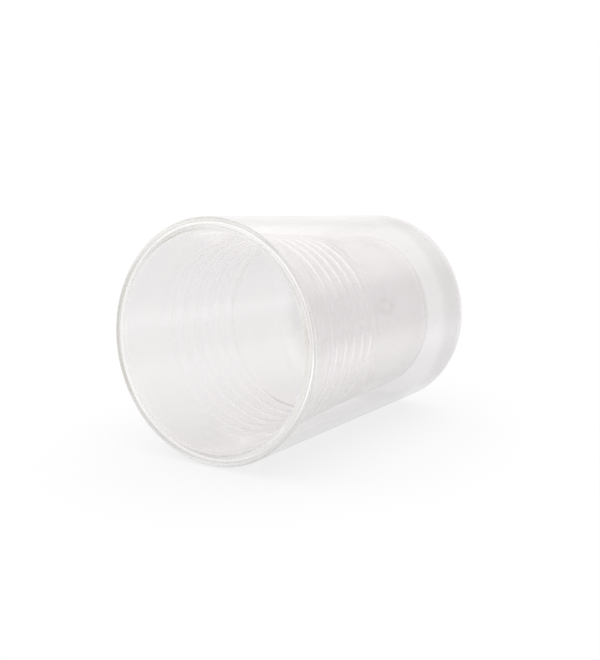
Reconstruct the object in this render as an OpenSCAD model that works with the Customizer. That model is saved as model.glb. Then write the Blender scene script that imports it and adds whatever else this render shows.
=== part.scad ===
// Double-walled tea glass: a ribbed inner cup hangs inside a smooth tapered shell.
// A round lip of melted glass joins the two walls, and a drop of glass seals the vent in the base.
// The glass stands upright on the plane z = 0, with the origin at the centre of its base.

/* [Shell] */
// Height from the table to the top of the lip
height = 104; // [94:1:120]
// Widest diameter, at the lip
rim_d = 80; // [76:1:90]
// Diameter of the shell just above its base corner
base_d = 66; // [62:1:72]
// Thickness of the shell's wall and floor
shell_wall = 1.6; // [1.2:0.1:2.2]
// Outside radius of the corner between wall and floor
shell_corner_r = 5.5; // [3:0.5:7]

/* [Cup] */
// Thickness of the cup's wall and floor
cup_wall = 1.6; // [1.2:0.1:2.2]
// Outside radius of the corner at the bottom of the cup
cup_corner_r = 8; // [4:0.5:12]
// Air gap between the two floors, measured at the middle
floor_gap = 9; // [6:0.5:14]
// Air gap between the two walls at the top of the cup's bottom corner
low_gap = 5.4; // [3:0.1:7]
// Air gap between the two walls below the ribs
mid_gap = 5.1; // [3:0.1:7]
// Air gap between the two walls above the ribs
high_gap = 3.8; // [2:0.1:6]

/* [Ribs] */
// Number of ribs around the cup, with a groove above and below each
rib_count = 5; // [3:1:6]
// Height of one rib, from groove to groove
rib_pitch = 5.7; // [4:0.1:6.5]
// Distance from the top of the lip down to the highest groove
rib_drop = 19.9; // [16:0.1:26]
// How far a rib stands out from its grooves on the outside of the cup
rib_depth = 0.3; // [0.1:0.05:0.8]
// How far a rib stands out from its grooves on the inside of the cup
rib_depth_inside = 0.15; // [0:0.05:0.8]
// Form of the ribs: 1 leaves sharp grooves between them, 2 makes an even wave
rib_form = 2; // [1:0.1:2]

/* [Lip] */
// Gap that is left between the two walls where they run into the lip
lip_gap = 0.8; // [0.3:0.1:1.4]
// Height of the lip's straight foot on the ends of the two walls
lip_skirt = 0.1; // [0.1:0.1:3]
// Height of the rounded end of the gap inside the lip
gap_rise = 0.8; // [0.3:0.1:1.2]

/* [Base] */
// Height of the hollow under the base
hollow_h = 2; // [1.2:0.1:3]
// Width of the flat foot ring between the base corner and the hollow
foot_w = 4.5; // [3:0.5:7]
// Diameter of the level middle of the hollow
hollow_flat_d = 16; // [10:1:24]
// Diameter of the vent in the middle of the base
vent_d = 3; // [2:0.5:5]
// Diameter of the drop that seals the vent
drop_d = 6.5; // [5.5:0.5:9]
// How far the drop stands out under the floor
drop_h = 0.15; // [0.1:0.05:1]

/* [Hidden] */
glass_color = [0.86, 0.90, 0.89, 0.45];
lip_color = [0.78, 0.84, 0.80, 0.60];
turn_faces = 180;
arc_steps = 16;
rib_steps = 12;
flare_steps = 16;

// The lip is as thick as both walls and the gap between them
lip_w = shell_wall + lip_gap + cup_wall;
lip_r = lip_w / 2;
lip_c = [rim_d / 2 - lip_r, height - lip_r];

// The shell's outside is the straight line that touches the lip's circle and the base corner's circle
corner_c = [base_d / 2 - shell_corner_r, shell_corner_r];
side_run = lip_c - corner_c;
taper = acos((shell_corner_r - lip_r) / norm(side_run)) - atan2(side_run.y, side_run.x);

// Height at which the two walls end and the lip starts, and the diameter of the hollow in the base
lip_z = lip_c.y - lip_r * sin(taper) - lip_skirt;
foot_d = 2 * (corner_c.x - foot_w);

// Radius, at height z, of the line that runs parallel to the shell's outside at a depth inside it
function side_r(z, depth = 0) =
    lip_c.x + (z - lip_c.y) * tan(taper) + (lip_r - depth) / cos(taper);

// Points of the arc about centre c from angle a to angle b
function arc(c, r, a, b) =
    [for (i = [0:arc_steps]) c + r * [cos(a + (b - a) * i / arc_steps), sin(a + (b - a) * i / arc_steps)]];

// The same points from last to first
function backwards(points) = [for (i = [len(points) - 1:-1:0]) points[i]];

// Value at u, from 0 to 1, of the cubic from a to b that starts with slope m and ends with slope n
function ease(a, b, m, n, u) =
    a * (2 * u + 1) * (1 - u) * (1 - u) + b * (3 - 2 * u) * u * u
    + m * u * (1 - u) * (1 - u) + n * (u - 1) * u * u;

// Heights along the cup's side, and the radius of its outside below and above the ribs
cup_base = hollow_h + shell_wall + floor_gap;
groove_count = rib_count + 1;
rib_top = height - rib_drop + rib_pitch / 2;
rib_foot = rib_top - groove_count * rib_pitch;
low_z = cup_base + cup_corner_r;
low_r = side_r(low_z, shell_wall + low_gap);
mid_r = side_r(rib_foot, shell_wall + mid_gap);
high_r = side_r(rib_top, shell_wall + high_gap);
lip_cup_r = side_r(lip_z, shell_wall + lip_gap);
cup_lean = atan((mid_r - low_r) / (rib_foot - low_z));
rib_slope = (high_r - mid_r) / (rib_top - rib_foot);

// One side of the shell from the vent to the lip: its outside, or the line at a depth within the wall
function shell_side(depth) = concat(
    [[vent_d / 2, hollow_h + depth]],
    [for (i = [0:arc_steps])
        let (u = i / arc_steps)
        [(hollow_flat_d + (foot_d - hollow_flat_d) * u) / 2, ease(hollow_h, 0, 0, 0, u) + depth]],
    arc(corner_c, shell_corner_r - depth, -90, -taper),
    [[side_r(lip_z, depth), lip_z]]
);

// Point of a ribbed side, counted in grooves up from the plain wall below them
function rib_point(count, groove) = [
    mid_r + (high_r - mid_r) * count / groove_count
        - groove * (1 - pow(abs(cos(180 * count)), rib_form)),
    rib_foot + count * rib_pitch
];

// Point of the flare, at u from 0 above the ribs to 1 at the lip
function flare_point(u) =
    let (rise = lip_z - rib_top)
    [ease(high_r, lip_cup_r, rib_slope * rise, tan(taper) * rise, u), rib_top + u * rise];

// One side of the cup from the axis to the lip: its outside, or the line at a depth within the wall
function cup_side(depth, groove) =
    let (
        level = [depth / cos(taper), 0],
        r = cup_corner_r - depth,
        c = [low_r - level.x - r / cos(cup_lean), low_z]
    )
    concat(
        [[0, cup_base + depth]],
        arc(c, r, -90, -cup_lean),
        [for (i = [0:groove_count * rib_steps]) rib_point(i / rib_steps, groove) - level],
        [for (i = [1:flare_steps]) flare_point(i / flare_steps) - level]
    );

module turned(points) {
    rotate_extrude($fn = turn_faces) polygon(points);
}

// Smooth outer wall with its rounded base corner, foot ring, hollow and vent
module outer_shell() {
    color(glass_color) turned(concat(shell_side(0), backwards(shell_side(shell_wall))));
}

// Inner wall with its round bottom, ribs and flared mouth
module inner_cup() {
    color(glass_color)
        turned(concat(cup_side(0, rib_depth), backwards(cup_side(cup_wall, rib_depth_inside))));
}

// Round lip on the ends of both walls, folded over the arched end of the gap between them
module rim_weld() {
    shell_in = side_r(lip_z, shell_wall);
    gap_c = [(shell_in + lip_cup_r) / 2, lip_z];
    gap_r = (shell_in - lip_cup_r) / 2;
    color(lip_color)
        turned(concat(
            [[side_r(lip_z), lip_z]],
            arc(lip_c, lip_r, -taper, 180 - taper),
            [[lip_cup_r - cup_wall / cos(taper), lip_z]],
            [for (p = arc([0, 0], 1, 180, 0)) gap_c + [p.x * gap_r, p.y * gap_rise]]
        ));
}

// Drop of glass that fills the vent and spreads under the floor as a shallow lens
module vent_seal() {
    color(lip_color)
        turned(concat(
            [for (i = [0:arc_steps])
                let (u = i / arc_steps)
                [u * drop_d / 2, hollow_h - drop_h * (1 - u * u)]],
            [
                [vent_d / 2, hollow_h],
                [vent_d / 2, hollow_h + shell_wall],
                [0, hollow_h + shell_wall]
            ]
        ));
}

outer_shell();
inner_cup();
rim_weld();
vent_seal();
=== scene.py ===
"""Clear double-walled tea glass, lying on its side on a white studio floor.

The glass keeps the frame of its solids: it stands on z = 0 with its mouth up.
The floor leans against its side and the camera is rolled, so that it lies in the picture.
"""

import logging
import math
from dataclasses import dataclass, field
from enum import IntEnum
from typing import Any

import bpy
import numpy as np
from mathutils import Matrix, Vector


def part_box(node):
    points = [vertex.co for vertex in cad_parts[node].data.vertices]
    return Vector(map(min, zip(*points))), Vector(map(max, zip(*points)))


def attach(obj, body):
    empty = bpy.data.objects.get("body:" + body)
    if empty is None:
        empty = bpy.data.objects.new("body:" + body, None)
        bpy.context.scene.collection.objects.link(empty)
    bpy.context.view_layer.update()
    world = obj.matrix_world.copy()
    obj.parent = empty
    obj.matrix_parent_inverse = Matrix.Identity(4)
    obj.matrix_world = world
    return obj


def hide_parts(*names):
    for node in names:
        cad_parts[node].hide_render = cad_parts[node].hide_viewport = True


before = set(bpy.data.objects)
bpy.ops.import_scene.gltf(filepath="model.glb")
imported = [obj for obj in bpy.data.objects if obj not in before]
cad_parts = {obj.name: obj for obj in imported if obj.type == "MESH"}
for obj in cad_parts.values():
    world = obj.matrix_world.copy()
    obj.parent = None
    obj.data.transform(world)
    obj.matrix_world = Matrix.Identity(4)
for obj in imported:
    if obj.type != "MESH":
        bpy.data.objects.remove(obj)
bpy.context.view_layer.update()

LOG = logging.getLogger("tea_glass")
MM = 0.001
TURN_STEPS = 540
AXIS_TOLERANCE = 1e-6 * MM

# How often light may meet glass, and clear faces, on its way
GLASS_BOUNCES = 300
CLEAR_BOUNCES = 32

# Light that a wall guides turns from fresh to worn between these numbers of mirrorings
WORN_COUNTS = (36, 60)

# Directions in the glass's frame: across its axis and level with the floor, and along its axis
ACROSS = Vector((1, 0, 0))
ALONG = Vector((0, 0, 1))

Profile = np.ndarray
Colour = tuple[float, float, float]
Socket = bpy.types.NodeSocket

WHITE: Colour = (1.0, 1.0, 1.0)


class Skin(IntEnum):
    """Material slots of a piece: its polished skin, and the hidden faces where glass runs into glass."""

    POLISHED = 0
    FUSED = 1


# Profile curves


def arc(centre: tuple[float, float], radius: float, start: float, end: float, steps: int) -> Profile:
    """Points on a circle: centre plus radius times (cosine, sine) of an angle that runs from start to end.

    Args:
        centre: Radius and height of the circle's centre, in metres.
        radius: Radius of the circle, in metres.
        start: First angle, in radians from the outward direction.
        end: Last angle, in radians.
        steps: Number of steps between the two angles.

    Returns:
        The points as rows of (radius, height).
    """
    angle = np.linspace(start, end, steps + 1)
    return np.array(centre) + radius * np.column_stack([np.cos(angle), np.sin(angle)])


def ease(first: float, last: float, first_slope: float, last_slope: float, share: np.ndarray) -> np.ndarray:
    """Cubic from one value to another with a given slope at each end.

    Args:
        first: Value at share 0.
        last: Value at share 1.
        first_slope: Slope at share 0.
        last_slope: Slope at share 1.
        share: Positions from 0 to 1.

    Returns:
        The cubic's values at those positions.
    """
    rest = 1 - share
    return (
        first * (2 * share + 1) * rest**2
        + last * (3 - 2 * share) * share**2
        + first_slope * share * rest**2
        - last_slope * rest * share**2
    )


@dataclass(frozen=True)
class GlassSizes:
    """Driving sizes of the glass in metres, with the curves that its four pieces share.

    The heights of the lip, the cup and the seal come from the frame. The other sizes repeat those of the
    solids.
    """

    height: float
    cup_base: float
    seal_foot: float
    rim_r: float = 40 * MM
    base_r: float = 33 * MM
    shell_wall: float = 1.6 * MM
    shell_corner_r: float = 5.5 * MM
    cup_wall: float = 1.6 * MM
    cup_corner_r: float = 8 * MM
    low_gap: float = 5.4 * MM
    mid_gap: float = 5.1 * MM
    high_gap: float = 3.8 * MM
    rib_count: int = 5
    rib_pitch: float = 5.7 * MM
    rib_drop: float = 19.9 * MM
    rib_depth: float = 0.3 * MM
    rib_depth_inside: float = 0.15 * MM
    rib_form: float = 2.0
    lip_gap: float = 0.8 * MM
    lip_skirt: float = 0.1 * MM
    gap_rise: float = 0.8 * MM
    hollow_h: float = 2 * MM
    foot_r: float = 23 * MM
    hollow_flat_r: float = 8 * MM
    vent_r: float = 1.5 * MM
    drop_r: float = 3.25 * MM

    @classmethod
    def from_frame(cls) -> "GlassSizes":
        """Reads the heights of the lip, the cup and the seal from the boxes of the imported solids."""
        return cls(
            height=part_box("rim_weld")[1].z,
            cup_base=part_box("inner_cup")[0].z,
            seal_foot=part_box("vent_seal")[0].z,
        )

    @property
    def lip_r(self) -> float:
        """Radius of the lip: half of both walls and the gap between them."""
        return (self.shell_wall + self.lip_gap + self.cup_wall) / 2

    @property
    def lip_c(self) -> tuple[float, float]:
        """Centre of the lip's round edge, as radius and height."""
        return self.rim_r - self.lip_r, self.height - self.lip_r

    @property
    def corner_c(self) -> tuple[float, float]:
        """Centre of the shell's base corner, as radius and height."""
        return self.base_r - self.shell_corner_r, self.shell_corner_r

    @property
    def taper(self) -> float:
        """Lean of the shell's side, which touches the lip's circle and the base corner's circle.

        Returns:
            The angle between the side and the axis, in radians.
        """
        run = self.lip_c[0] - self.corner_c[0]
        rise = self.lip_c[1] - self.corner_c[1]
        return math.acos((self.shell_corner_r - self.lip_r) / math.hypot(run, rise)) - math.atan2(rise, run)

    @property
    def lip_z(self) -> float:
        """Height of the two walls' ends, just below where the shell's side touches the lip's circle."""
        return self.lip_c[1] - self.lip_r * math.sin(self.taper) - self.lip_skirt

    def side_r(self, z: float, depth: float = 0.0) -> float:
        """Radius at height z of the line parallel to the shell's outside.

        Args:
            z: Height, in metres.
            depth: Distance of the line inside the shell's outside, in metres.

        Returns:
            The radius, in metres.
        """
        lean = (z - self.lip_c[1]) * math.tan(self.taper)
        return self.lip_c[0] + lean + (self.lip_r - depth) / math.cos(self.taper)

    @property
    def rib_top(self) -> float:
        """Height at which the ribs end and the flare starts, half a rib above the highest groove."""
        return self.height - self.rib_drop + self.rib_pitch / 2

    @property
    def rib_foot(self) -> float:
        """Height at which the ribs start, half a rib below the lowest groove."""
        return self.rib_top - (self.rib_count + 1) * self.rib_pitch

    @property
    def lip_cup_r(self) -> float:
        """Radius of the cup's outside where it runs into the lip."""
        return self.side_r(self.lip_z, self.shell_wall + self.lip_gap)


# Shader graphs


class Value:
    """A number socket in a shader graph. Arithmetic on it adds Math nodes."""

    def __init__(self, graph: "Graph", socket: Socket) -> None:
        """Wraps an output socket of a graph."""
        self.graph = graph
        self.socket = socket

    def _math(self, operation: str, *terms: "Value | float") -> "Value":
        """Adds one Math node.

        Args:
            operation: Name of the node's operation.
            terms: Its inputs in order.

        Returns:
            The node's result.
        """
        node = self.graph.node("ShaderNodeMath", {"operation": operation}, dict(enumerate(terms)))
        return Value(self.graph, node.outputs[0])

    def __add__(self, other: "Value | float") -> "Value":
        """Sum of two values."""
        return self._math("ADD", self, other)

    __radd__ = __add__

    def __sub__(self, other: "Value | float") -> "Value":
        """This value less the other."""
        return self._math("SUBTRACT", self, other)

    def __rsub__(self, other: float) -> "Value":
        """A number less this value."""
        return self._math("SUBTRACT", other, self)

    def __mul__(self, other: "Value | float") -> "Value":
        """Product of two values."""
        return self._math("MULTIPLY", self, other)

    __rmul__ = __mul__

    def __abs__(self) -> "Value":
        """Size of this value."""
        return self._math("ABSOLUTE", self)

    def between(self, first: "Value | float", second: "Value | float") -> "Value":
        """The first value where this one is 0, and the second where it is 1."""
        return first + self * (second - first)

    def step(self, low: float, high: float) -> "Value":
        """Smooth step from 0 at low to 1 at high.

        Args:
            low: Value at which the step starts.
            high: Value at which it ends.

        Returns:
            The step's value.
        """
        settings = {"interpolation_type": "SMOOTHSTEP"}
        inputs = {"Value": self, "From Min": low, "From Max": high}
        return Value(self.graph, self.graph.node("ShaderNodeMapRange", settings, inputs).outputs[0])


class Graph:
    """A shader's node tree while it is being written."""

    def __init__(self, tree: bpy.types.NodeTree) -> None:
        """Empties the tree."""
        self.tree = tree
        tree.nodes.clear()

    def node(
        self, kind: str, settings: dict[str, Any] | None = None, inputs: dict[str | int, Any] | None = None
    ) -> bpy.types.Node:
        """Adds a node, sets its options first and then its sockets.

        Args:
            kind: Type of the node.
            settings: Attributes of the node, such as its operation.
            inputs: Values, sockets or wrapped values by socket name or number.

        Returns:
            The new node.
        """
        node = self.tree.nodes.new(kind)
        for name, setting in (settings or {}).items():
            setattr(node, name, setting)
        for name, source in (inputs or {}).items():
            if isinstance(source, Value):
                source = source.socket
            if isinstance(source, Socket):
                self.tree.links.new(source, node.inputs[name])
            else:
                node.inputs[name].default_value = source
        return node

    def value(self, node: bpy.types.Node, output: str | int = 0) -> Value:
        """One output of a node as a value."""
        return Value(self, node.outputs[output])

    def dot(self, vector: Socket, direction: Vector) -> Value:
        """Share of a vector socket along a fixed direction."""
        inputs = {0: vector, 1: tuple(direction)}
        return self.value(self.node("ShaderNodeVectorMath", {"operation": "DOT_PRODUCT"}, inputs), "Value")

    def mirrored(self, times: int = 1) -> Value:
        """1 for light mirrored at least so many times on its way to the camera, and 0 for other light."""
        return self.mirror_count().step(times - 0.75, times - 0.25)

    def worn(self) -> Value:
        """0 for light that was mirrored a few times, and 1 for light that a wall guided a long way."""
        return self.mirror_count().step(*WORN_COUNTS)

    def mirror_count(self) -> Value:
        """Number of times that light was mirrored on its way to the camera."""
        return self.value(self.node("ShaderNodeLightPath"), "Glossy Depth")

    def mix(self, share: Value, first: Colour | Socket, second: Colour | Socket) -> Socket:
        """Mixes two colours.

        Args:
            share: 0 gives the first colour and 1 the second.
            first: Colour at 0, fixed or from a socket.
            second: Colour at 1, likewise.

        Returns:
            The mixed colour's socket.
        """
        ends = [end if isinstance(end, Socket) else (*end, 1.0) for end in (first, second)]
        inputs = {0: share, 6: ends[0], 7: ends[1]}
        return self.node("ShaderNodeMix", {"data_type": "RGBA"}, inputs).outputs[2]


# Finishes


@dataclass(frozen=True)
class GlassFinish:
    """Fire-polished clear glass: a pale tint, slow waves from blowing, and a faint handling film.

    The tint deepens along the waves. Where a foot colour is given, the glass is darker near the base: this
    is painted shade, which fades out between the two heights of the edge above the foot.
    """

    name: str
    tint: Colour
    deep_tint: Colour
    # Painted shade near the base: a darker colour, and the heights between which it fades out
    painted_foot_shade: Colour | None = None
    foot_shade_edge: tuple[float, float] = (13 * MM, 20 * MM)
    ior: float = 1.47
    wave_size: float = 14 * MM
    wave_height: float = 0.02 * MM
    wave_detail: float = 1.5
    film_size: float = 9 * MM
    film_detail: float = 4.0
    film_edge: tuple[float, float] = (0.45, 0.75)
    film_roughness: float = 0.012

    def material(self) -> bpy.types.Material:
        """Writes the finish as a node material.

        Returns:
            The material.
        """
        material = bpy.data.materials.new(self.name)
        material.use_nodes = True
        graph = Graph(material.node_tree)
        place = graph.node("ShaderNodeTexCoord").outputs["Object"]
        waves = self._noise(graph, place, self.wave_size, self.wave_detail)
        film = self._noise(graph, place, self.film_size, self.film_detail).step(*self.film_edge)
        body = graph.mix(waves, self.tint, self.deep_tint)
        # Painted shade: the glass is darker near the base
        if self.painted_foot_shade:
            above_foot_shade = graph.dot(place, ALONG).step(*self.foot_shade_edge)
            body = graph.mix(above_foot_shade, self.painted_foot_shade, body)
        bump = graph.node(
            "ShaderNodeBump", inputs={"Strength": 1.0, "Distance": self.wave_height, "Height": waves}
        )
        glass = graph.node(
            "ShaderNodeBsdfPrincipled",
            inputs={
                "Base Color": body,
                "Roughness": film * self.film_roughness,
                "IOR": self.ior,
                "Transmission Weight": 1.0,
                "Normal": bump.outputs[0],
            },
        )
        graph.node("ShaderNodeOutputMaterial", inputs={"Surface": glass.outputs[0]})
        return material

    @staticmethod
    def _noise(graph: Graph, place: Socket, size: float, detail: float) -> Value:
        """Noise with features of one size.

        Args:
            graph: Graph to write to.
            place: Coordinates socket, in metres.
            size: Width of one feature, in metres.
            detail: Number of finer layers.

        Returns:
            The noise, about 0.5 on average.
        """
        inputs = {"Vector": place, "Scale": 1 / size, "Detail": detail}
        return graph.value(graph.node("ShaderNodeTexNoise", inputs=inputs), 0)


@dataclass(frozen=True)
class FusedFinish:
    """The hidden faces where two pieces of glass have run together, so light crosses them unbent."""

    name: str = "fused_joint"

    def material(self) -> bpy.types.Material:
        """Writes the finish as a clear node material.

        Returns:
            The material.
        """
        material = bpy.data.materials.new(self.name)
        material.use_nodes = True
        graph = Graph(material.node_tree)
        clear = graph.node("ShaderNodeBsdfTransparent")
        graph.node("ShaderNodeOutputMaterial", inputs={"Surface": clear.outputs[0]})
        return material


@dataclass(frozen=True)
class FloorFinish:
    """White studio floor that keeps soft shadows and is clear from behind.

    To sight it is white all over. In mirror reflections its glow is painted: a painted shadow along the
    line that the glass rests on, a painted pool of light beside it, and a fade into the room. Light that
    the walls guide finds it of one tone, and worn light finds it darker, most of all on the left.
    """

    name: str = "studio_white"
    paint: float = 0.06
    glow: float = 0.84
    # Painted shadow along the line the glass rests on, and a painted pool of light beside it, as mirror
    # reflections see the floor
    contact_shadow_glow: float = 0.7
    painted_pool_glow: float = 1.08
    room_glow: float = 0.76
    guided_glow: float = 0.92
    worn_left: float = 0.5
    worn_right: float = 0.8
    pool_edge: tuple[float, float] = (30 * MM, 70 * MM)
    room_edge: tuple[float, float] = (70 * MM, 220 * MM)
    end_edge: tuple[float, float] = (60 * MM, 250 * MM)
    worn_edge: tuple[float, float] = (-60 * MM, 60 * MM)

    def material(self, right: Vector, middle: float) -> bpy.types.Material:
        """Writes the floor as matt paint with a glow, shown on its front only.

        Args:
            right: The view's right.
            middle: Height of the glass's middle along its axis.

        Returns:
            The material.
        """
        material = bpy.data.materials.new(self.name)
        material.use_nodes = True
        graph = Graph(material.node_tree)
        place = graph.node("ShaderNodeTexCoord").outputs["Object"]
        away = abs(graph.dot(place, ACROSS))
        # Painted shadow near the contact line, turning into a painted pool of light beside it
        beside = away.step(*self.pool_edge).between(self.contact_shadow_glow, self.painted_pool_glow)
        along = abs(graph.dot(place, ALONG) - middle)
        near = (1 - away.step(*self.room_edge)) * (1 - along.step(*self.end_edge))
        once = near.between(self.room_glow, beside)
        worn = graph.dot(place, right).step(*self.worn_edge).between(self.worn_left, self.worn_right)
        guided = graph.worn().between(self.guided_glow, worn)
        strength = graph.mirrored().between(self.glow, graph.mirrored(2).between(once, guided))
        paint_colour = (self.paint, self.paint, self.paint, 1)
        paint = graph.node("ShaderNodeBsdfDiffuse", inputs={"Color": paint_colour})
        glow = graph.node("ShaderNodeEmission", inputs={"Strength": strength})
        front = graph.node("ShaderNodeAddShader", inputs={0: paint.outputs[0], 1: glow.outputs[0]})
        back = graph.node("ShaderNodeBsdfTransparent")
        facing = graph.node("ShaderNodeNewGeometry").outputs["Backfacing"]
        sides = {0: facing, 1: front.outputs[0], 2: back.outputs[0]}
        shown = graph.node("ShaderNodeMixShader", inputs=sides)
        graph.node("ShaderNodeOutputMaterial", inputs={"Surface": shown.outputs[0]})
        return material


# Pieces of the glass


@dataclass
class TurnedPiece:
    """A piece of glass turned about the Z axis from a profile, with its finish."""

    sizes: GlassSizes
    finish: bpy.types.Material
    fused: bpy.types.Material
    node: str = ""
    slot: str = ""
    obj: bpy.types.Object | None = field(default=None, init=False)

    def stretches(self) -> list[tuple[Profile, Skin]]:
        """Profile in stretches that follow each other with the glass on their left, each with its skin."""
        raise NotImplementedError

    def _outline(self) -> tuple[Profile, np.ndarray, np.ndarray]:
        """Joins the stretches into one outline.

        Returns:
            Its points, without a last one that repeats the first, the skin of each step along it, and the
            places in it where a stretch starts.
        """
        parts = self.stretches()
        profile = np.concatenate([points[:-1] for points, _ in parts] + [parts[-1][0][-1:]])
        if np.allclose(profile[0], profile[-1]):
            profile = profile[:-1]
        lengths = [len(points) - 1 for points, _ in parts]
        skins = np.repeat([int(skin) for _, skin in parts], lengths)
        return profile, skins, np.cumsum([0] + lengths[:-1])

    @staticmethod
    def _faces(counts: np.ndarray, skins: np.ndarray) -> tuple[list[list[int]], np.ndarray]:
        """Joins each ring of vertices to the next with quads, or with triangles where one ring is a pole.

        Args:
            counts: Number of vertices in each ring, which is 1 for a pole.
            skins: Skin of each step along the outline.

        Returns:
            The vertices of each face, and the skin of each face.
        """
        starts = np.cumsum(counts) - counts
        here = np.arange(len(skins))
        there = (here + 1) % len(counts)
        step = np.arange(TURN_STEPS)

        def vertex(rings: np.ndarray, steps: np.ndarray) -> np.ndarray:
            """Numbers of the vertices of some rings at some steps of the turn."""
            return starts[rings, None] + steps % counts[rings, None]

        corners = [vertex(here, step), vertex(here, step + 1), vertex(there, step + 1), vertex(there, step)]
        quads = np.stack(corners, -1).reshape(-1, 4)
        quad_skins = np.repeat(skins, TURN_STEPS)
        first_pole = quads[:, 0] == quads[:, 1]
        last_pole = quads[:, 2] == quads[:, 3]
        plain = ~(first_pole | last_pole)
        faces = quads[plain].tolist() + quads[first_pole, 1:].tolist() + quads[last_pole, :3].tolist()
        return faces, np.concatenate([quad_skins[plain], quad_skins[first_pole], quad_skins[last_pole]])

    def build(self) -> bpy.types.Object:
        """Turns the outline into a closed mesh, with sharp edges where its stretches meet.

        A point at outline place i and angle a lies at (r_i cos a, r_i sin a, z_i). Where the radius is 0
        the ring is a single pole.

        Returns:
            The new object.
        """
        profile, skins, starts = self._outline()
        counts = np.where(profile[:, 0] < AXIS_TOLERANCE, 1, TURN_STEPS)
        ring = np.repeat(np.arange(len(profile)), counts)
        angle = np.concatenate([np.arange(count) for count in counts]) * (2 * math.pi / TURN_STEPS)
        radius, z = profile[ring].T
        points = np.column_stack([radius * np.cos(angle), radius * np.sin(angle), z])
        faces, face_skins = self._faces(counts, skins)

        mesh = bpy.data.meshes.new(self.node + "_glass")
        mesh.from_pydata(points, [], faces)
        mesh.polygons.foreach_set("use_smooth", np.ones(len(faces), bool))
        mesh.polygons.foreach_set("material_index", face_skins.astype(np.int32))
        ends = np.empty(len(mesh.edges) * 2, np.int32)
        mesh.edges.foreach_get("vertices", ends)
        rings = ring[ends.reshape(-1, 2)]
        sharp = np.zeros(len(profile), bool)
        sharp[starts] = True
        mesh.edges.foreach_set("use_edge_sharp", (rings[:, 0] == rings[:, 1]) & sharp[rings[:, 0]])
        mesh.update()
        self.obj = bpy.data.objects.new(self.node + "_glass", mesh)
        bpy.context.scene.collection.objects.link(self.obj)
        return self.obj

    def dress(self) -> None:
        """Gives the piece its finish and ties it to the solid that it stands for."""
        self.obj.data.materials.append(self.finish)
        self.obj.data.materials.append(self.fused)
        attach(self.obj, "root")
        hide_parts(self.node)


@dataclass
class OuterShell(TurnedPiece):
    """Smooth tapered outer wall with its base corner, foot ring, hollow and vent."""

    node: str = "outer_shell"
    slot: str = "clear_glass"
    curve_steps: int = 20

    def _side(self, depth: float) -> Profile:
        """Line from the vent to the lip at a depth within the wall.

        Args:
            depth: 0 on the outside, the wall's thickness on the inside.

        Returns:
            The line's points.
        """
        s = self.sizes
        share = np.linspace(0, 1, self.curve_steps + 1)
        hollow = np.column_stack([
            s.hollow_flat_r + (s.foot_r - s.hollow_flat_r) * share,
            ease(s.hollow_h, 0, 0, 0, share) + depth,
        ])
        corner = arc(s.corner_c, s.shell_corner_r - depth, -math.pi / 2, -s.taper, self.curve_steps)
        vent = [[s.vent_r, s.hollow_h + depth]]
        return np.concatenate([vent, hollow, corner, [[s.side_r(s.lip_z, depth), s.lip_z]]])

    def stretches(self) -> list[tuple[Profile, Skin]]:
        """Outside from vent to lip, the fused top, the inside back to the vent, and the fused vent.

        Returns:
            The stretches, each with its skin.
        """
        outside, inside = self._side(0), self._side(self.sizes.shell_wall)[::-1]
        return [
            (outside, Skin.POLISHED),
            (np.array([outside[-1], inside[0]]), Skin.FUSED),
            (inside, Skin.POLISHED),
            (np.array([inside[-1], outside[0]]), Skin.FUSED),
        ]


@dataclass
class InnerCup(TurnedPiece):
    """Inner wall with its round bottom, ribs and flared mouth."""

    node: str = "inner_cup"
    slot: str = "clear_glass"
    corner_steps: int = 12
    rib_steps: int = 10
    flare_steps: int = 12

    def _side(self, depth: float, groove: float) -> Profile:
        """Line from the axis to the lip at a depth within the wall.

        Counted in ribs, the line sinks by the groove's depth times 1 less the cosine of half a turn per
        rib, raised to the rib form, so it is level with the plain wall where the ribs start and end.

        Args:
            depth: 0 on the outside, the wall's thickness on the inside.
            groove: Depth of the grooves between the ribs.

        Returns:
            The line's points.
        """
        s = self.sizes
        low_z = s.cup_base + s.cup_corner_r
        low_r = s.side_r(low_z, s.shell_wall + s.low_gap)
        mid_r = s.side_r(s.rib_foot, s.shell_wall + s.mid_gap)
        high_r = s.side_r(s.rib_top, s.shell_wall + s.high_gap)
        lean = math.atan((mid_r - low_r) / (s.rib_foot - low_z))
        level = depth / math.cos(s.taper)
        corner_r = s.cup_corner_r - depth
        centre = (low_r - level - corner_r / math.cos(lean), low_z)
        corner = arc(centre, corner_r, -math.pi / 2, -lean, self.corner_steps)
        waves = s.rib_count + 1
        count = np.linspace(0, waves, waves * self.rib_steps + 1)
        sink = groove * (1 - np.abs(np.cos(math.pi * count)) ** s.rib_form)
        ribs = np.column_stack([
            mid_r + (high_r - mid_r) * count / waves - sink - level,
            s.rib_foot + count * s.rib_pitch,
        ])
        share = np.linspace(0, 1, self.flare_steps + 1)[1:]
        rise = s.lip_z - s.rib_top
        rib_slope = (high_r - mid_r) / (s.rib_top - s.rib_foot)
        flare = np.column_stack([
            ease(high_r, s.lip_cup_r, rib_slope * rise, math.tan(s.taper) * rise, share) - level,
            s.rib_top + share * rise,
        ])
        return np.concatenate([[[0, s.cup_base + depth]], corner, ribs, flare])

    def stretches(self) -> list[tuple[Profile, Skin]]:
        """Outside from the bottom to the lip, the fused top, and the inside back to the axis.

        Returns:
            The stretches, each with its skin.
        """
        s = self.sizes
        outside = self._side(0, s.rib_depth)
        inside = self._side(s.cup_wall, s.rib_depth_inside)[::-1]
        return [
            (outside, Skin.POLISHED),
            (np.array([outside[-1], inside[0]]), Skin.FUSED),
            (inside, Skin.POLISHED),
        ]


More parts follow.
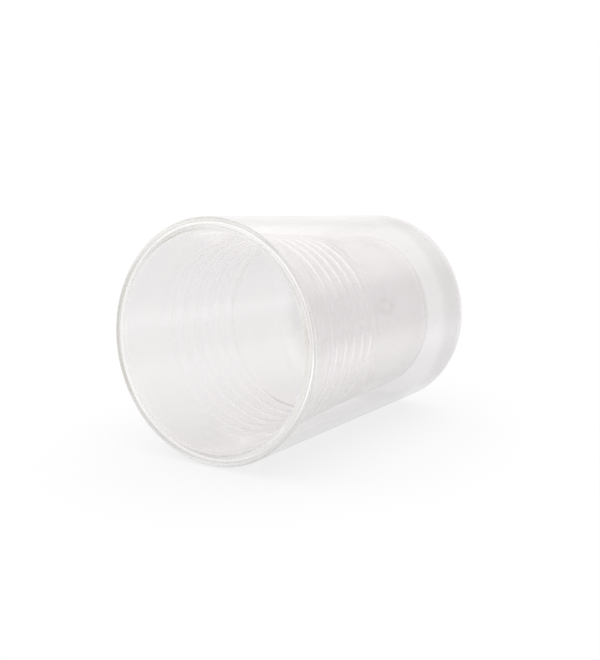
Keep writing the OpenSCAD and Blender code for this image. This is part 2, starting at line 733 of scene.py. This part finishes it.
@dataclass
class RimWeld(TurnedPiece):
    """Round lip of melted glass on the ends of both walls, with a rounded end to the gap between them."""

    node: str = "rim_weld"
    slot: str = "lip_glass"
    lip_steps: int = 96
    gap_steps: int = 24

    def stretches(self) -> list[tuple[Profile, Skin]]:
        """The lip's skin from outside to inside, the fused cup end, the gap's arch, the fused shell end.

        Returns:
            The stretches, each with its skin.
        """
        s = self.sizes
        shell_in = s.side_r(s.lip_z, s.shell_wall)
        cup_in = s.lip_cup_r - s.cup_wall / math.cos(s.taper)
        lip = arc(s.lip_c, s.lip_r, -s.taper, math.pi - s.taper, self.lip_steps)
        skin = np.concatenate([[[s.side_r(s.lip_z), s.lip_z]], lip, [[cup_in, s.lip_z]]])
        arch = arc((0, 0), 1, math.pi, 0, self.gap_steps) * [(shell_in - s.lip_cup_r) / 2, s.gap_rise]
        gap = np.array([(shell_in + s.lip_cup_r) / 2, s.lip_z]) + arch
        return [
            (skin, Skin.POLISHED),
            (np.array([skin[-1], gap[0]]), Skin.FUSED),
            (gap, Skin.POLISHED),
            (np.array([gap[-1], skin[0]]), Skin.FUSED),
        ]


@dataclass
class VentSeal(TurnedPiece):
    """Drop of glass that fills the vent and spreads under the floor of the shell."""

    node: str = "vent_seal"
    slot: str = "lip_glass"
    drop_steps: int = 32

    def stretches(self) -> list[tuple[Profile, Skin]]:
        """The drop's skin, its fused face under the floor, the fused plug, and the plug's polished top.

        Returns:
            The stretches, each with its skin.
        """
        s = self.sizes
        share = np.linspace(0, 1, self.drop_steps + 1)
        drop = np.column_stack([s.drop_r * share, s.seal_foot + (s.hollow_h - s.seal_foot) * share**2])
        top = s.hollow_h + s.shell_wall
        plug = np.array([drop[-1], [s.vent_r, s.hollow_h], [s.vent_r, top]])
        return [
            (drop, Skin.POLISHED),
            (plug, Skin.FUSED),
            (np.array([[s.vent_r, top], [0, top]]), Skin.POLISHED),
        ]


# Studio


@dataclass
class StudioCamera:
    """Camera that sees the glass as lying on its side, with its mouth to the left and in front.

    The turn and dip give the glass's axis in the view, and the base's place is measured from the lens.
    """

    sizes: GlassSizes
    lens_mm: float = 103.73
    sensor_mm: float = 36
    clip: tuple[float, float] = (0.01, 100)
    axis_turn: float = math.radians(-35.76)
    axis_dip: float = math.radians(7.14)
    base_right: float = 31.80 * MM
    base_down: float = -8.69 * MM
    base_ahead: float = 683.97 * MM

    def turn(self) -> np.ndarray:
        """Rotation from the glass's frame to the view's right, down and ahead.

        The glass rests along its side, so its axis rises from the floor towards the mouth by the taper, and
        the side at +Y lies on the floor.

        Returns:
            The 3 by 3 matrix, whose columns are the glass's X, Y and Z in the view.
        """
        axis = np.array([
            math.sin(self.axis_turn) * math.cos(self.axis_dip),
            math.sin(self.axis_dip),
            -math.cos(self.axis_turn) * math.cos(self.axis_dip),
        ])
        steep = math.asin(math.sin(self.sizes.taper) / math.hypot(axis[1], axis[2]))
        pitch = steep + math.atan2(axis[1], -axis[2])
        up = np.array([0, -math.cos(pitch), -math.sin(pitch)])
        down = -(up - (up @ axis) * axis)
        down /= np.linalg.norm(down)
        return np.column_stack([np.cross(down, axis), down, axis])

    def build(self) -> bpy.types.Object:
        """Places the camera in the glass's frame.

        Returns:
            The camera's object.
        """
        turn = self.turn()
        base = np.array([self.base_right, self.base_down, self.base_ahead])
        data = bpy.data.cameras.new("studio_camera")
        data.lens = self.lens_mm
        data.sensor_width = self.sensor_mm
        data.clip_start, data.clip_end = self.clip
        camera = bpy.data.objects.new("studio_camera", data)
        axes = turn.T @ np.diag([1, -1, -1])
        matrix = np.eye(4)
        matrix[:3, :3] = axes
        matrix[:3, 3] = -turn.T @ base
        camera.matrix_world = Matrix(matrix.tolist())
        bpy.context.scene.collection.objects.link(camera)
        bpy.context.scene.camera = camera
        return camera


@dataclass
class StudioFloor:
    """Sheet of white floor that the glass's side rests on. It is measured from the middle of the glass."""

    sizes: GlassSizes
    right: Vector
    finish: FloorFinish = FloorFinish()
    reach_right: float = 0.30
    reach_left: float = 0.60
    reach_front: float = 0.60
    reach_back: float = 5.0
    clearance: float = 0.05 * MM
    steps: int = 24

    def up(self) -> Vector:
        """Upward direction of the floor in the glass's frame."""
        return Vector((0, -math.cos(self.sizes.taper), math.sin(self.sizes.taper)))

    def build(self) -> bpy.types.Object:
        """Lays a flat grid on the plane that touches the shell's side.

        A point lies at the contact plus u times the view's right plus v times the way to the back.

        Returns:
            The floor's object.
        """
        s = self.sizes
        middle = s.height / 2
        contact = np.array([0, s.side_r(middle), middle]) - self.clearance * np.array(self.up())
        back = np.array(self.up().cross(self.right))
        u, v = np.meshgrid(
            np.linspace(-self.reach_left, self.reach_right, self.steps + 1),
            np.linspace(-self.reach_front, self.reach_back, self.steps + 1),
            indexing="ij",
        )
        points = contact + u[..., None] * np.array(self.right) + v[..., None] * back
        number = np.arange(u.size).reshape(u.shape)
        faces = np.stack([number[:-1, :-1], number[1:, :-1], number[1:, 1:], number[:-1, 1:]], -1)
        mesh = bpy.data.meshes.new("studio_floor")
        mesh.from_pydata(points.reshape(-1, 3), [], faces.reshape(-1, 4).tolist())
        mesh.materials.append(self.finish.material(self.right, middle))
        floor = bpy.data.objects.new("studio_floor", mesh)
        bpy.context.scene.collection.objects.link(floor)
        return floor


@dataclass
class StudioLight:
    """White light all round, and a room that the glass sees in mirror reflections.

    Light mirrored once sees the room with its backdrop, softbox and ceiling. Light that the walls guide
    sees a pale tone, a little lighter above, and worn light sees a dull one below, paler on the right. Each
    edge gives the two shares of a direction along an axis between which one tone turns into the next.
    """

    ahead: Vector
    up: Vector
    room: Colour = (0.92, 0.89, 0.895)
    backdrop: Colour = (0.96, 0.935, 0.935)
    softbox: Colour = (1.24, 1.21, 1.21)
    ceiling: Colour = (1.05, 1.02, 1.02)
    guided: Colour = (0.96, 0.945, 0.935)
    worn_left: Colour = (0.44, 0.425, 0.34)
    worn_right: Colour = (0.80, 0.785, 0.74)
    guided_high: Colour = (1.0, 0.99, 0.98)
    backdrop_edge: tuple[float, float] = (0.75, 0.95)
    softbox_edge: tuple[float, float] = (0.20, 0.36)
    ceiling_edge: tuple[float, float] = (0.58, 0.68)
    guided_edge: tuple[float, float] = (0.30, 0.55)
    worn_edge: tuple[float, float] = (-0.3, 0.3)

    def build(self) -> None:
        """Writes the world: white to sight and through the glass, and the room where light was mirrored."""
        world = bpy.data.worlds.new("studio")
        bpy.context.scene.world = world
        world.use_nodes = True
        graph = Graph(world.node_tree)
        sight = graph.node("ShaderNodeTexCoord").outputs["Generated"]
        height = graph.dot(sight, self.up)
        behind = graph.dot(sight, self.ahead).step(*self.backdrop_edge)
        high = height.step(*self.softbox_edge)
        level = graph.mix(high, graph.mix(behind, self.room, self.backdrop), self.softbox)
        once = graph.mix(height.step(*self.ceiling_edge), level, self.ceiling)
        side = graph.dot(sight, self.ahead.cross(self.up)).step(*self.worn_edge)
        worn = graph.mix(side, self.worn_left, self.worn_right)
        low_guided = graph.mix(graph.worn(), self.guided, worn)
        guided = graph.mix(height.step(*self.guided_edge), low_guided, self.guided_high)
        mirrored = graph.mix(graph.mirrored(2), once, guided)
        colour = graph.mix(graph.mirrored(), WHITE, mirrored)
        light = graph.node("ShaderNodeBackground", inputs={"Color": colour, "Strength": 1.0})
        graph.node("ShaderNodeOutputWorld", inputs={"Surface": light.outputs[0]})


@dataclass
class StudioLamp:
    """Wide soft lamp above the glass, which lights the floor alone and throws the pale shadow on it."""

    ahead: Vector
    up: Vector
    strength: float = 6.0
    width: float = math.radians(100)
    height: float = math.radians(76)
    turn_left: float = math.radians(-10)

    def build(self) -> bpy.types.Object:
        """Hangs the lamp in the glass's frame, out of sight of the glass.

        Returns:
            The lamp's object.
        """
        data = bpy.data.lights.new("studio_lamp", "SUN")
        data.energy = self.strength
        data.angle = self.width
        lamp = bpy.data.objects.new("studio_lamp", data)
        level = Matrix.Rotation(self.turn_left, 3, self.up) @ self.ahead
        towards = level * math.cos(self.height) + self.up * math.sin(self.height)
        lamp.matrix_world = towards.to_track_quat("Z", "Y").to_matrix().to_4x4()
        lamp.visible_glossy = False
        lamp.visible_transmission = False
        bpy.context.scene.collection.objects.link(lamp)
        return lamp


def main() -> None:
    """Builds the studio and the glass in order, and logs the number of faces of each glass piece."""
    logging.basicConfig(level=logging.INFO, format="%(message)s")
    scene = bpy.context.scene
    scene.view_settings.view_transform = "Standard"
    scene.cycles.max_bounces = GLASS_BOUNCES
    scene.cycles.transmission_bounces = GLASS_BOUNCES
    scene.cycles.glossy_bounces = GLASS_BOUNCES
    scene.cycles.transparent_max_bounces = CLEAR_BOUNCES

    sizes = GlassSizes.from_frame()
    camera = StudioCamera(sizes)
    camera.build()
    right = Vector(camera.turn()[0])
    floor = StudioFloor(sizes, right)
    floor.build()
    ahead = floor.up().cross(right)
    StudioLight(ahead, floor.up()).build()
    StudioLamp(ahead, floor.up()).build()

    shell = GlassFinish(
        "shell_glass",
        tint=(0.937, 0.926, 0.928),
        deep_tint=(0.927, 0.915, 0.917),
        # Darker colour near the base: painted shade
        painted_foot_shade=(0.835, 0.822, 0.824),
    ).material()
    cup = GlassFinish(
        "cup_glass",
        tint=(0.940, 0.929, 0.931),
        deep_tint=(0.929, 0.917, 0.919),
    ).material()
    lip = GlassFinish(
        "lip_glass",
        tint=(0.98, 0.978, 0.97),
        deep_tint=(0.97, 0.968, 0.96),
        film_roughness=0.004,
        wave_height=0.004 * MM,
    ).material()
    fused = FusedFinish().material()
    for piece in (
        OuterShell(sizes, shell, fused),
        InnerCup(sizes, cup, fused),
        RimWeld(sizes, lip, fused),
        VentSeal(sizes, shell, fused),
    ):
        built = piece.build()
        piece.dress()
        LOG.info("%s: %d faces", built.name, len(built.data.polygons))

    bpy.context.view_layer.update()


if __name__ == "__main__":
    main()
